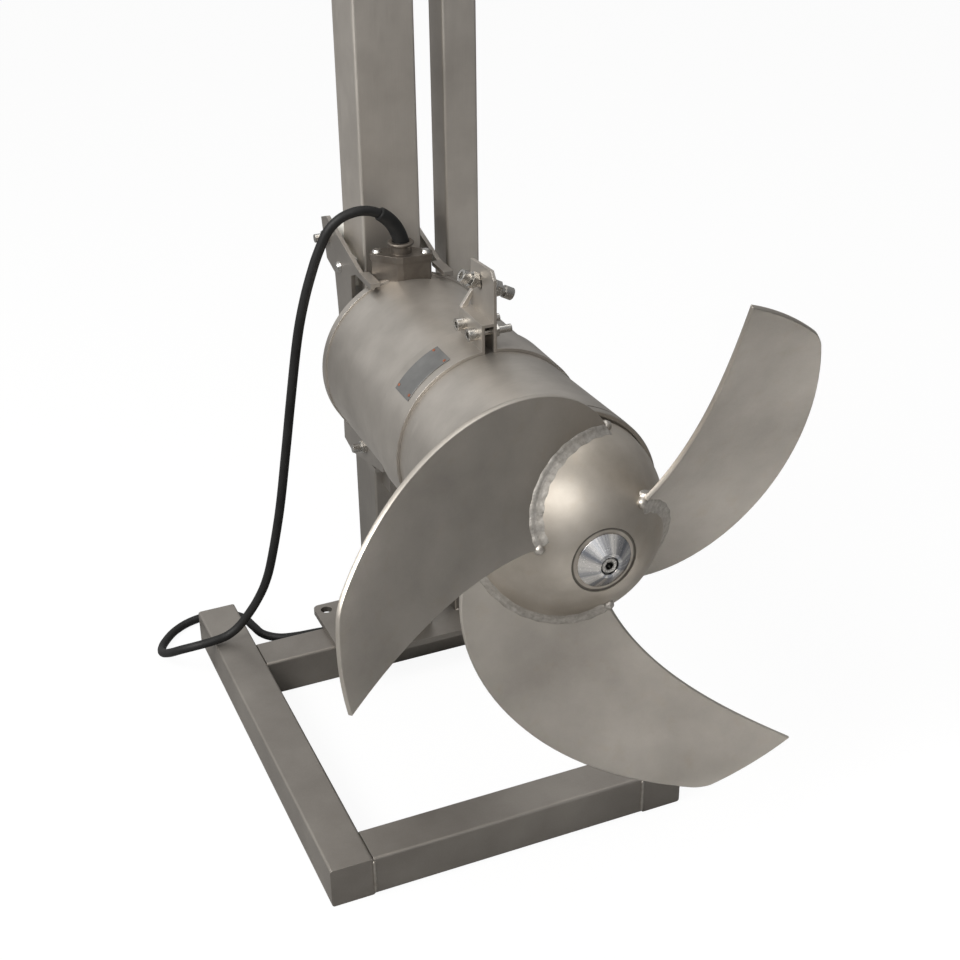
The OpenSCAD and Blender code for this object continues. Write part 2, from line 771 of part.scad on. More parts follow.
// A round tube swept along points, its rings turned along with the path and not twisted
function unit(v) = v / norm(v);
function lerp(a, b, t) = a + (b - a) * t;
function knot(a, b, c, d, t) =
    0.5 * (2 * b + (c - a) * t + (2 * a - 5 * b + 4 * c - d) * t * t + (3 * b - a - 3 * c + d) * t * t * t);
function smooth_path(p, steps) = [
    for (i = [0:len(p) - 2], k = [0:steps - 1])
        knot(p[max(i - 1, 0)], p[i], p[i + 1], p[min(i + 2, len(p) - 1)], k / steps),
    p[len(p) - 1]
];
function tangent(p, i) = unit(p[min(i + 1, len(p) - 1)] - p[max(i - 1, 0)]);
function square_to(v, t) = unit(v - (v * t) * t);
function sides(p, first) = [
    for (i = 0, n = square_to(first, tangent(p, 0)); i < len(p); i = i + 1,
        n = square_to(n, tangent(p, min(i, len(p) - 1)))) n
];

// The part of the path from one ring to another, its radius going evenly from one value to the next.
// The first ring stands off by a little room
module swept_tube(path, from, to, r_from, r_to, count, first, room = 0) {
    side = sides(path, first);
    rings = to - from + 1;
    points = [
        for (i = [from:to], k = [0:count - 1])
            let (a = k * 360 / count, r = lerp(r_from, r_to, (i - from) / (to - from)))
            path[i] + (i == from ? room : 0) * tangent(path, i)
                + r * (cos(a) * side[i] + sin(a) * cross(tangent(path, i), side[i]))
    ];
    walls = [
        for (i = [0:rings - 2], k = [0:count - 1], half = [0, 1])
            let (a = i * count + k, b = i * count + (k + 1) % count)
            half == 0 ? [a, a + count, b] : [b, a + count, b + count]
    ];
    ends = [[for (k = [0:count - 1]) k], [for (k = [count - 1:-1:0]) (rings - 1) * count + k]];
    polyhedron(points, concat(walls, ends));
}

// One route in three parts: the boot, the free cable down to the base, and the cable on the floor
cord_sides = 12;
cord_steps = 2;
cord_side = [0, 1, 0];
boot_route = [
    [gland_x, -gland_d, ring_top - ring_h + seat],
    [gland_x, -gland_d, ring_top - ring_h / 2],
    [gland_x, -gland_d, ring_top],
    [gland_x - 3, -gland_d, ring_top + 11],
    [gland_x - 9, -gland_d, ring_top + 23],
    [gland_x - 18, -gland_d, ring_top + 34],
    [gland_x - 29, -gland_d, ring_top + 43]
];
cable_route = [
    [-48, -92, 779],
    [-62, -92, 781],
    [-76, -91, 779],
    [-89, -90, 774],
    [-100, -88, 765],
    [-109, -86, 753],
    [-118, -83, 733],
    [-127, -80, 709],
    [-141, -75, 662],
    [-152, -65, 602],
    [-162, -45, 503],
    [-169, -25, 416],
    [-179, 0, 305],
    [-193, 20, 210],
    [-203, 30, 166],
    [-215, 38, 135],
    [-229, 46, 108],
    [-246, 51, 85]
];
floor_route = [
    [-265, 53, 72],
    [-288, 53, 68],
    [-313, 57, 64],
    [-335, 71, 54],
    [-350, 92, 39],
    [-356, 118, 24],
    [-353, 145, 13],
    [-343, 169, 8],
    [-321, 195, 7],
    [-292, 212, 7],
    [-258, 218, 7],
    [-228, 210, 7],
    [-206, 188, 7],
    [-198, 158, 7],
    [-190, 129, 7],
    [-169, 108, 7],
    [-140, 100, 7],
    [-100, 96, 7],
    [-50, 87, 7],
    [-12, 81, 7],
    [20, 82, 7],
    [49, 90, 7],
    [70, 111, 7],
    [78, 140, 7],
    [78, 185, 7],
    [78, 250, 7],
    [78, 316, 7]
];
cord_path = smooth_path(concat(boot_route, cable_route, floor_route), cord_steps);
boot_last = (len(boot_route) - 1) * cord_steps;
cable_last = (len(boot_route) + len(cable_route) - 1) * cord_steps;
floor_last = len(cord_path) - 1;

module cable_boot() color(rubber)
    swept_tube(cord_path, 0, boot_last, boot_r, boot_end_r, cord_sides, cord_side);
module power_cable() color(rubber)
    swept_tube(cord_path, boot_last, cable_last, cable_r, cable_r, cord_sides, cord_side);
module floor_cable() color(rubber)
    swept_tube(cord_path, cable_last, floor_last, cable_r, cable_r, cord_sides, cord_side, seat);

// Coil of the spare cable on the floor behind the stand
coil_x = 215;
coil_y = 316;
coil_r = 110;
coil_rows = 3;
coil_layers = 4;

module cable_coil() color(rubber)
    translate([coil_x, coil_y, 0]) rotate_extrude($fn = 96)
        translate([coil_r - coil_rows * cable_r, 0])
            square([2 * coil_rows * cable_r, 2 * coil_layers * cable_r]);

// Propeller: a hemispherical hub shell on a boss, with three helical blades welded to the dome
hub_r = casing_r + front_step - hub_inset;
hub_room = 1.5;
hub_gap = 5;
hub_cut = 5;
hub_back = front_d + hub_gap;
hub_center = hub_back - hub_cut;
nose_r = 40;
nose_sink = 1;
nose_d = hub_center + sqrt(hub_r * hub_r - nose_r * nose_r) - nose_sink;
boss_back = hub_back + 4;
back_plate_t = 6;
back_plate_rise = boss_back + back_plate_t - hub_center;
back_plate_r = sqrt((hub_r - hub_t) * (hub_r - hub_t) - back_plate_rise * back_plate_rise) - slack;

module hub_shell() color(steel)
    on_axis() difference() {
        translate([0, 0, hub_center]) sphere(hub_r, $fn = 128);
        translate([0, 0, hub_center]) sphere(hub_r - hub_t, $fn = 128);
        translate([0, 0, hub_center - hub_r - cut])
            cylinder(h = hub_back - hub_center + hub_r + cut, r = hub_r + cut);
        translate([0, 0, hub_center]) cylinder(h = hub_r + cut, r = nose_r + seat);
    }

module hub_boss() color(steel)
    on_axis() difference() {
        translate([0, 0, boss_back]) cylinder(h = nose_d - boss_back, r = nose_r);
        translate([0, 0, boss_back - cut]) cylinder(h = nose_d - boss_back + 2 * cut, r = hub_shaft_r + seat);
        translate([0, 0, key_d]) translate([-key_w / 2 - seat, 0, 0])
            cube([key_w + 2 * seat, hub_shaft_r + key_h / 2 + seat, key_len + seat]);
    }

module hub_back_plate() color(steel)
    on_axis(boss_back) difference() {
        cylinder(h = back_plate_t, r = back_plate_r);
        translate([0, 0, -cut]) cylinder(h = back_plate_t + 2 * cut, r = nose_r + seat);
    }

key_w = 14;
key_h = 9;
key_d = hub_center + 30;
key_len = 70;

module shaft_key() color(dark_steel)
    on_axis(key_d) translate([-key_w / 2, hub_shaft_r - key_h / 2, 0])
        cube([key_w, key_h - seat, key_len - seat]);

shaft_end = nose_d - 6;
nose_screw_r = 6;
nose_thread = 30;

module shaft() color(bright_steel)
    on_axis() difference() {
        rotate_extrude() polygon([
            [0, rear_bearing_d - 4],
            [rear_shaft_r, rear_bearing_d - 4],
            [rear_shaft_r, rear_bearing_d + rear_bearing_w],
            [shaft_r, rear_bearing_d + rear_bearing_w],
            [shaft_r, front_bearing_d + front_bearing_w + 2],
            [seal_shaft_r, front_bearing_d + front_bearing_w + 2],
            [seal_shaft_r, boss_back - 1],
            [hub_shaft_r, boss_back - 1],
            [hub_shaft_r, shaft_end],
            [0, shaft_end]
        ]);
        translate([0, 0, shaft_end - nose_thread]) cylinder(h = nose_thread + cut, r = nose_screw_r + seat);
        translate([-key_w / 2 - seat, hub_shaft_r - key_h / 2 - seat, key_d - seat])
            cube([key_w + 2 * seat, key_h, key_len + seat]);
    }

cone_r = 33;
cone_top_r = 15;
cone_h = 15;
cone_rim = 2;
bore_h = 11;
screw_r = 9;

module nose_cap() color(bright_steel)
    on_axis() difference() {
        rotate_extrude() polygon([
            [0, nose_d],
            [cone_r, nose_d],
            [cone_r, nose_d + cone_rim],
            [cone_top_r, nose_d + cone_h],
            [0, nose_d + cone_h]
        ]);
        translate([0, 0, nose_d + cone_h - bore_h]) cylinder(h = bore_h + cut, r = screw_r + 2);
        translate([0, 0, nose_d - cut]) cylinder(h = cone_h, r = nose_screw_r + seat);
    }

module nose_screw() color(bright_steel)
    on_axis() difference() {
        union() {
            translate([0, 0, nose_d + cone_h - bore_h]) cylinder(h = bore_h - 1, r = screw_r);
            translate([0, 0, shaft_end - nose_thread + 4])
                cylinder(h = nose_d + cone_h - bore_h - shaft_end + nose_thread - 4, r = nose_screw_r);
        }
        translate([0, 0, nose_d + cone_h - 7]) cylinder(h = 7 + cut, r = 5.6, $fn = 6);
    }

// Blade surface in span v and chord u. Its root follows the dome, so both faces end on the same ball
blade_seat_r = hub_r + 0.25;
lead_root = 22;
trail_root = 98.5;
lead_curl = 56;
lead_bow = 81.5;
lead_bend = 19;
lead_angle = -53;
trail_bow = 23;
trail_bend = 9;
trail_angle = 42.75;
chord_steps = 20;
span_steps = 14;
tip_round = 0.025;
tip_round_chord = 0.1;
blade_count = 3;

function blade_root_r(u) =
    let (s = lerp(lead_root, trail_root, u)) sqrt(blade_seat_r * blade_seat_r - s * s);
function blade_point(u, v) =
    let (
        bow = v * (1 - v),
        a = lerp(lead_angle + lead_sweep * v + lead_bend * bow,
            trail_angle + trail_sweep * v + trail_bend * bow, u),
        lead_s = lead_root + (blade_rake + lead_curl) * v - lead_bow * bow,
        s = lerp(lead_s, trail_root + blade_rake * v - trail_bow * bow, u),
        r = lerp(blade_root_r(u), prop_r, v)
    ) [r * cos(a), r * sin(a), s];
function blade_normal(u, v) =
    let (e = 0.01)
    unit(cross(blade_point(u + e, v) - blade_point(u - e, v), blade_point(u, v + e) - blade_point(u, v - e)));
function blade_skin(u, v, side) =
    let (
        mid = blade_point(u, v),
        q = mid + side * blade_normal(u, v) * lerp(blade_root_t, blade_tip_t, v) / 2
    ) q * norm(mid) / norm(q);
// The tip's leading corner is rounded
function tip_span(u) =
    let (k = max(0, 1 - u / tip_round_chord)) 1 - tip_round * (1 - sqrt(1 - k * k));

module blade_solid() {
    rows = chord_steps + 1;
    cols = span_steps + 1;
    face = rows * cols;
    points = [
        for (side = [-1, 1], i = [0:chord_steps], j = [0:span_steps])
            let (u = i / chord_steps) blade_skin(u, tip_span(u) * j / span_steps, side)
    ];
    skin = [
        for (i = [0:chord_steps - 1], j = [0:span_steps - 1], half = [0, 1])
            let (a = i * cols + j)
            half == 0 ? [a, a + 1, a + cols] : [a + 1, a + cols + 1, a + cols]
    ];
    other = [for (f = skin) [f[0] + face, f[2] + face, f[1] + face]];
    rim = concat(
        [for (i = [0:chord_steps - 1]) [i * cols, (i + 1) * cols]],
        [for (j = [0:span_steps - 1]) [chord_steps * cols + j, chord_steps * cols + j + 1]],
        [for (i = [chord_steps - 1:-1:0]) [(i + 1) * cols + span_steps, i * cols + span_steps]],
        [for (j = [span_steps - 1:-1:0]) [j + 1, j]]
    );
    edge = [
        for (e = rim, half = [0, 1])
            half == 0 ? [e[0], e[1], e[0] + face] : [e[1], e[1] + face, e[0] + face]
    ];
    polyhedron(points, concat(skin, other, edge));
}

module blade(index) {
    color(steel) on_axis(hub_center) rotate([0, 0, index * 360 / blade_count]) blade_solid();
}

module blade_1() blade(1);
module blade_2() blade(0);
module blade_3() blade(2);

base_left_tube();
base_right_tube();
base_front_tube();
base_rear_tube();
base_end_caps();
rail_foot_plate();
guide_rail();
hoist_mast();
post_caps();
rail_stop();
carriage_left_plate();
carriage_right_plate();
carriage_cross_bar();
guide_pads();
guide_pad_bolts();
guide_roller_upper();
guide_roller_lower();
roller_axles();
roller_nuts();
motor_casing();
rear_cover();
front_cover();
bearing_bracket();
stator_core();
stator_windings();
rear_bearing_outer();
rear_bearing_balls();
rear_bearing_inner();
front_bearing_outer();
front_bearing_balls();
front_bearing_inner();
seal_seat();
seal_ring();
cover_o_rings();
clamp_band();
clamp_screws();
clamp_nuts();
lifting_bolt();
lifting_nuts();
gland_block();
gland_flange();
gland_screws();
gland_ring();
cable_boot();
nameplate();
nameplate_rivets();
shaft();
rotor_core();
shaft_key();
hub_shell();
hub_boss();
hub_back_plate();
blade_1();
blade_2();
blade_3();
nose_cap();
nose_screw();
power_cable();
floor_cable();
cable_coil();
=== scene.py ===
import math

import bmesh
import bpy
from mathutils import Matrix, Vector


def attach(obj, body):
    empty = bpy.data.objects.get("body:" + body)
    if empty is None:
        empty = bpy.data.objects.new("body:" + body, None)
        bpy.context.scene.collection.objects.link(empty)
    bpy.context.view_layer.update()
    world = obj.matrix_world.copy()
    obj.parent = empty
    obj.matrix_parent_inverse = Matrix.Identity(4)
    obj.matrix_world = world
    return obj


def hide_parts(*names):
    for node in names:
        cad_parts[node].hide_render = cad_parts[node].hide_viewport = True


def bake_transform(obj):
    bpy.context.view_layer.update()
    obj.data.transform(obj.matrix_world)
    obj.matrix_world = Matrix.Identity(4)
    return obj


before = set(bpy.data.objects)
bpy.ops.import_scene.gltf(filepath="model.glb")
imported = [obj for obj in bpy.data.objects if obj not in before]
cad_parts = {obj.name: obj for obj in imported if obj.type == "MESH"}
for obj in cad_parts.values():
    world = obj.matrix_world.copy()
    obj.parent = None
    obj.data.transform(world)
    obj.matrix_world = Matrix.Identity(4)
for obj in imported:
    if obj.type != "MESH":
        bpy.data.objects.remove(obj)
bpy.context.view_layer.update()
scene = bpy.context.scene

# The camera stands at the left in front of the mixer and looks down on it, as in the photograph.
# Its place, direction and lens come from the stand's square tubes and posts.
camera_eye = Vector((-0.7138, -2.0163, 1.4871))
camera_yaw = math.radians(23.072)
camera_pitch = math.radians(28.681)
camera_roll = math.radians(-0.7256)
camera_ahead = Vector((
    math.sin(camera_yaw) * math.cos(camera_pitch),
    math.cos(camera_yaw) * math.cos(camera_pitch),
    -math.sin(camera_pitch),
))
level_right = Vector((math.cos(camera_yaw), -math.sin(camera_yaw), 0.0))
level_up = level_right.cross(camera_ahead)
camera_right = math.cos(camera_roll) * level_right + math.sin(camera_roll) * level_up
camera_up = math.cos(camera_roll) * level_up - math.sin(camera_roll) * level_right
camera_data = bpy.data.cameras.new("photo_camera")
camera_data.lens = 60.07
camera_data.sensor_width = 36.0
camera_data.shift_y = -0.0035
camera_data.clip_end = 100.0
camera = bpy.data.objects.new("photo_camera", camera_data)
camera.matrix_world = Matrix.Translation(camera_eye) @ Matrix(
    (camera_right, camera_up, -camera_ahead)).transposed().to_4x4()
scene.collection.objects.link(camera)
scene.camera = camera
scene.view_settings.view_transform = "Standard"

# Power cable: black rubber, 13.5 mm thick and 10 m long. It leaves the boot, bends over, hangs down
# behind the motor, crosses the left base tube and runs along the floor to a coil behind the stand.
cable_thick = 0.0135
cable_length = 10.0
cable_sides = 14
cable_route = [
    (-35, -92, 774), (-48, -92, 779), (-62, -92, 781), (-76, -91, 779), (-89, -90, 774), (-100, -88, 765),
    (-109, -86, 753), (-118, -83, 733), (-127, -80, 709), (-141, -75, 662), (-152, -65, 602), (-162, -45, 503),
    (-169, -25, 416), (-179, 0, 305), (-193, 20, 210), (-203, 30, 166), (-215, 38, 135), (-229, 46, 108),
    (-246, 51, 85), (-265, 53, 72), (-288, 53, 68), (-313, 57, 64), (-335, 71, 54), (-350, 92, 39),
    (-356, 118, 24), (-353, 145, 13), (-343, 169, 8), (-321, 195, 7), (-292, 212, 7), (-258, 218, 7),
    (-228, 210, 7), (-206, 188, 7), (-198, 158, 7), (-190, 129, 7), (-169, 108, 7), (-140, 100, 7),
    (-100, 96, 7), (-50, 87, 7), (-12, 81, 7), (20, 82, 7), (49, 90, 7), (70, 111, 7), (78, 140, 7),
    (79, 185, 7), (82, 250, 8),
]
route_steps = 6
coil_middle = Vector((0.215, 0.316, 0.0083))
coil_radius = 0.110
coil_pitch = 0.0136
coil_columns = [1, 0, -1, -1, 0, 1, 1, 0, -1, -1, 0, 1, 1]
coil_layers = [0, 0, 0, 1, 1, 1, 2, 2, 2, 3, 3, 3, 3]
coil_turns = len(coil_columns) - 1
coil_steps = 40
coil_crossing = 0.2
coil_lead_in = 0.03


def smooth_route(points, steps):
    """Points of one smooth curve through the given points."""
    out = []
    last = len(points) - 1
    for i in range(last):
        a, b = points[max(i - 1, 0)], points[i]
        c, d = points[i + 1], points[min(i + 2, last)]
        for k in range(steps):
            t = k / steps
            out.append(0.5 * (2 * b + (c - a) * t + (2 * a - 5 * b + 4 * c - d) * t * t
                              + (3 * b - a - 3 * c + d) * t * t * t))
    out.append(points[last])
    return out


def cut_to_length(points, length):
    """The first part of a path, cut where it has the given length."""
    out = [points[0]]
    left = length
    for a, b in zip(points, points[1:]):
        step = (b - a).length
        if step >= left:
            out.append(a + (b - a) * left / step)
            break
        out.append(b)
        left -= step
    return out


def coil_point(turn):
    """A point of the wound cable, a number of turns after its start."""
    n = int(turn)
    part = max(0.0, (turn - n - (1 - coil_crossing)) / coil_crossing)
    part = part * part * (3 - 2 * part)
    column = coil_columns[n] + (coil_columns[n + 1] - coil_columns[n]) * part
    layer = coil_layers[n] + (coil_layers[n + 1] - coil_layers[n]) * part
    radius = coil_radius + column * coil_pitch
    angle = math.pi - 2 * math.pi * turn
    return coil_middle + Vector((radius * math.cos(angle), radius * math.sin(angle), layer * coil_pitch))


def sweep_rings(points, radii, sides):
    """Rings of points round a path, turned along with it and not twisted."""
    rings = []
    side = Vector((0, 1, 0))
    for i, p in enumerate(points):
        ahead = (points[min(i + 1, len(points) - 1)] - points[max(i - 1, 0)]).normalized()
        side = (side - side.dot(ahead) * ahead).normalized()
        other = ahead.cross(side)
        rings.append([p + radii[i] * (math.cos(a) * side + math.sin(a) * other)
                      for a in (2 * math.pi * k / sides for k in range(sides))])
    return rings


sharp_angle = math.radians(42)


def piece_from_mesh(name, mesh):
    """An object of the finished mesh, smooth but for its sharp edges."""
    bmesh.ops.recalc_face_normals(mesh, faces=mesh.faces)
    for face in mesh.faces:
        face.smooth = True
    data = bpy.data.meshes.new(name)
    mesh.to_mesh(data)
    mesh.free()
    data.set_sharp_from_angle(angle=sharp_angle)
    made = bpy.data.objects.new(name, data)
    scene.collection.objects.link(made)
    return made


def piece_from_rings(name, rings, closed=False):
    """A skin over rings of points, with flat ends unless the rings close on themselves."""
    mesh = bmesh.new()
    loops = [[mesh.verts.new(p) for p in ring] for ring in rings]
    pairs = list(zip(loops, loops[1:])) + ([(loops[-1], loops[0])] if closed else [])
    for a, b in pairs:
        for k in range(len(a)):
            mesh.faces.new((a[k], a[(k + 1) % len(a)], b[(k + 1) % len(a)], b[k]))
    if not closed:
        mesh.faces.new(list(reversed(loops[0])))
        mesh.faces.new(loops[-1])
    return piece_from_mesh(name, mesh)


def new_group(name, inputs, outputs):
    """An empty shader group with named sockets, and its nodes, links, entry and exit."""
    group = bpy.data.node_groups.new(name, "ShaderNodeTree")
    for way, sockets in (("INPUT", inputs), ("OUTPUT", outputs)):
        for socket, kind in sockets.items():
            group.interface.new_socket(socket, in_out=way, socket_type=f"NodeSocket{kind}")
    entry, leave = group.nodes.new("NodeGroupInput"), group.nodes.new("NodeGroupOutput")
    return group, group.nodes, group.links, entry, leave


def worn_group(name):
    """Clouds of colour, a fine grain in gloss and height, and edges that are rounded a little."""
    relief_height = 0.0004
    edge_radius = 0.0009
    edge_samples = 6
    noise_low, noise_high = 0.3, 0.7
    group, nodes, links, entry, leave = new_group(
        name,
        {"Dark": "Color", "Light": "Color", "Smooth": "Float", "Rough": "Float", "Cloud Scale": "Float",
         "Grain Scale": "Float", "Grain Stretch": "Vector", "Relief": "Float"},
        {"Colour": "Color", "Roughness": "Float", "Normal": "Vector"})
    place = nodes.new("ShaderNodeTexCoord")
    stretch = nodes.new("ShaderNodeVectorMath")
    stretch.operation = "MULTIPLY"
    links.new(place.outputs["Object"], stretch.inputs[0])
    links.new(entry.outputs["Grain Stretch"], stretch.inputs[1])
    spots = {"Cloud": place.outputs["Object"], "Grain": stretch.outputs["Vector"]}
    amount = {}
    for part, detail, rough in (("Cloud", 5.0, 0.55), ("Grain", 3.0, 0.6)):
        noise = nodes.new("ShaderNodeTexNoise")
        noise.inputs["Detail"].default_value = detail
        noise.inputs["Roughness"].default_value = rough
        links.new(spots[part], noise.inputs["Vector"])
        links.new(entry.outputs[f"{part} Scale"], noise.inputs["Scale"])
        spread = nodes.new("ShaderNodeMapRange")
        spread.inputs["From Min"].default_value = noise_low
        spread.inputs["From Max"].default_value = noise_high
        links.new(noise.outputs["Fac"], spread.inputs["Value"])
        amount[part] = spread.outputs["Result"]
    tint = nodes.new("ShaderNodeMix")
    tint.data_type = "RGBA"
    links.new(amount["Cloud"], tint.inputs["Factor"])
    links.new(entry.outputs["Dark"], tint.inputs["A"])
    links.new(entry.outputs["Light"], tint.inputs["B"])
    links.new(tint.outputs["Result"], leave.inputs["Colour"])
    gloss = nodes.new("ShaderNodeMapRange")
    links.new(amount["Grain"], gloss.inputs["Value"])
    links.new(entry.outputs["Smooth"], gloss.inputs["To Min"])
    links.new(entry.outputs["Rough"], gloss.inputs["To Max"])
    links.new(gloss.outputs["Result"], leave.inputs["Roughness"])
    edge = nodes.new("ShaderNodeBevel")
    edge.samples = edge_samples
    edge.inputs["Radius"].default_value = edge_radius
    relief = nodes.new("ShaderNodeBump")
    relief.inputs["Distance"].default_value = relief_height
    links.new(entry.outputs["Relief"], relief.inputs["Strength"])
    links.new(amount["Grain"], relief.inputs["Height"])
    links.new(edge.outputs["Normal"], relief.inputs["Normal"])
    links.new(relief.outputs["Normal"], leave.inputs["Normal"])
    return group


worn_surface = worn_group("worn_surface")


def new_finish(name, metallic, roughness, colour):
    """A material with one Principled shader, its plain values set on the shader itself."""
    finish = bpy.data.materials.new(name)
    finish.use_nodes = True
    shader = finish.node_tree.nodes["Principled BSDF"]
    shader.inputs["Metallic"].default_value = metallic
    shader.inputs["Roughness"].default_value = roughness
    shader.inputs["Base Color"].default_value = (*colour, 1.0)
    finish.diffuse_color = (*colour, 1.0)
    return finish, finish.node_tree.nodes, finish.node_tree.links, shader


def worn_finish(name, dark, light, metallic, rough, clouds, grain, relief, stretch=(1.0, 1.0, 1.0)):
    """A finish whose colour drifts in clouds and whose gloss and height follow a fine grain."""
    finish, nodes, links, shader = new_finish(name, metallic, sum(rough) / 2, light)
    surface = nodes.new("ShaderNodeGroup")
    surface.name = "surface"
    surface.node_tree = worn_surface
    values = {"Dark": (*dark, 1.0), "Light": (*light, 1.0), "Smooth": rough[0], "Rough": rough[1],
              "Cloud Scale": clouds, "Grain Scale": grain, "Grain Stretch": stretch, "Relief": relief}
    for socket, value in values.items():
        surface.inputs[socket].default_value = value
    links.new(surface.outputs["Colour"], shader.inputs["Base Color"])
    links.new(surface.outputs["Roughness"], shader.inputs["Roughness"])
    links.new(surface.outputs["Normal"], shader.inputs["Normal"])
    return finish


def dress(piece, finish):
    """Gives a piece one finish."""
    piece.data.materials.clear()
    piece.data.materials.append(finish)


cable_rubber = worn_finish("cable_rubber", (0.005, 0.005, 0.005), (0.012, 0.012, 0.012), metallic=0.0,
                           rough=(0.48, 0.64), clouds=30.0, grain=900.0, relief=0.15)
cable_rubber.node_tree.nodes["Principled BSDF"].inputs["Specular IOR Level"].default_value = 0.32
cable_knots = [Vector(p) / 1000 for p in cable_route] + [coil_point(0.0), coil_point(coil_lead_in)]
free_run = smooth_route(cable_knots, route_steps)[:-route_steps]
wound_run = [coil_point(k / coil_steps) for k in range(1, coil_turns * coil_steps)]
cable_path = cut_to_length(free_run + wound_run, cable_length)
cable = piece_from_rings("power_cable_run",
                         sweep_rings(cable_path, [cable_thick / 2] * len(cable_path), cable_sides))
dress(cable, cable_rubber)
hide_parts("power_cable", "floor_cable", "cable_coil")
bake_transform(cable)

# Cable ties: three narrow black straps of rubbery plastic, pulled tight round the coil, that hold
# its turns together. Each follows the coil's outside with rounded corners.
tie_width = 0.0046
tie_thick = 0.0011
tie_angles = (50, 170, 290)
tie_points = 32
tie_corner = 0.35
coil_half_rise = 1.5 * coil_pitch
tie_half_wide = coil_pitch + cable_thick / 2
tie_half_high = coil_half_rise + cable_thick / 2


def square_off(value):
    """Pushes a sine or cosine outward, so that a ring drawn with it has flat sides."""
    return abs(value) ** tie_corner * math.copysign(1, value)


for number, degrees in enumerate(tie_angles):
    outward = Vector((math.cos(math.radians(degrees)), math.sin(math.radians(degrees)), 0.0))
    along = Vector((-outward.y, outward.x, 0.0))
    middle = coil_middle + outward * coil_radius + Vector((0, 0, coil_half_rise))
    rings = []
    for k in range(tie_points):
        angle = 2 * math.pi * k / tie_points
        wide, high = square_off(math.cos(angle)), square_off(math.sin(angle))
        spots = []
        for grow, shift in ((0, -1), (0, 1), (1, 1), (1, -1)):
            spots.append(middle + outward * wide * (tie_half_wide + grow * tie_thick)
                         + Vector((0, 0, high * (tie_half_high + grow * tie_thick)))
                         + along * shift * tie_width / 2)
        rings.append(spots)
    tie = piece_from_rings(f"cable_tie_{number + 1}", rings, closed=True)
    dress(tie, cable_rubber)
    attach(tie, "stand")

# Cable boot: a soft rubber sleeve that stands in the gland ring and bends with the cable.
# It tapers towards the cable and ends in a cut edge with a small step.
boot_route = [Vector(p) / 1000 for p in (
    (-6, -92, 726.2), (-6, -92, 728.5), (-6, -92, 731), (-9, -92, 742), (-15, -92, 754), (-24, -92, 765),
    (-35, -92, 774))]
boot_radius = 0.0120
boot_taper = 0.0025
boot_end_step = 0.0008
boot_steps = 8
boot_sides = 28
boot_path = smooth_route(boot_route, boot_steps)
boot_radii = [boot_radius - boot_taper * i / (len(boot_path) - 1) for i in range(len(boot_path))]
boot_radii[-1] -= boot_end_step
boot = piece_from_rings("cable_boot_sleeve", sweep_rings(boot_path, boot_radii, boot_sides))
dress(boot, cable_rubber)
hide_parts("cable_boot")
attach(boot, "carriage")

# Stand: square stainless tube, welded into a floor frame that carries the guide rail and a slimmer
# mast on a foot plate. All of it is pickled to a dull grey; the posts get painted shade near the floor.
post_shade_deep_height, post_shade_clear_height = 0.30, 0.75
post_shade_share = 0.48


def dim_finish(finish, share):
    """Multiplies a finish's colour by a share or a tint that changes over the surface."""
    nodes, links = finish.node_tree.nodes, finish.node_tree.links
    dim = nodes.new("ShaderNodeMix")
    dim.data_type = "RGBA"
    dim.blend_type = "MULTIPLY"
    dim.inputs["Factor"].default_value = 1.0
    links.new(nodes["surface"].outputs["Colour"], dim.inputs["A"])
    links.new(share, dim.inputs["B"])
    links.new(dim.outputs["Result"], nodes["Principled BSDF"].inputs["Base Color"])


def dress_nodes(finish, *names):
    """Gives one finish to some of the modelled pieces."""
    for name in names:
        dress(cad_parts[name], finish)


# The floor tubes get a much darker copy of the stand's one steel and the posts a much lighter one, as painted
# shade on the floor frame and painted light on the posts.
tube_steel = worn_finish("tube_steel", (0.25, 0.23, 0.208), (0.35, 0.325, 0.295), metallic=0.9,
                         rough=(0.40, 0.52), clouds=7.0, grain=420.0, relief=0.10)
post_steel = worn_finish("post_steel", (0.50, 0.464, 0.422), (0.66, 0.618, 0.566), metallic=0.9,
                         rough=(0.38, 0.50), clouds=8.0, grain=420.0, relief=0.10, stretch=(1.0, 1.0, 0.05))
# Painted shade: the posts' colour is dimmed to under half below 0.30 m and rises to full at 0.75 m.
post_nodes, post_links = post_steel.node_tree.nodes, post_steel.node_tree.links
post_place = post_nodes.new("ShaderNodeTexCoord")
post_split = post_nodes.new("ShaderNodeSeparateXYZ")
post_painted_shade = post_nodes.new("ShaderNodeMapRange")
post_painted_shade.inputs["From Min"].default_value = post_shade_deep_height
post_painted_shade.inputs["From Max"].default_value = post_shade_clear_height
post_painted_shade.inputs["To Min"].default_value = post_shade_share
post_links.new(post_place.outputs["Object"], post_split.inputs["Vector"])
post_links.new(post_split.outputs["Z"], post_painted_shade.inputs["Value"])
dim_finish(post_steel, post_painted_shade.outputs["Result"])
dress_nodes(tube_steel, "base_left_tube", "base_right_tube", "base_front_tube", "base_rear_tube",
            "base_end_caps", "rail_foot_plate")
dress_nodes(post_steel, "guide_rail", "hoist_mast", "post_caps", "rail_stop")

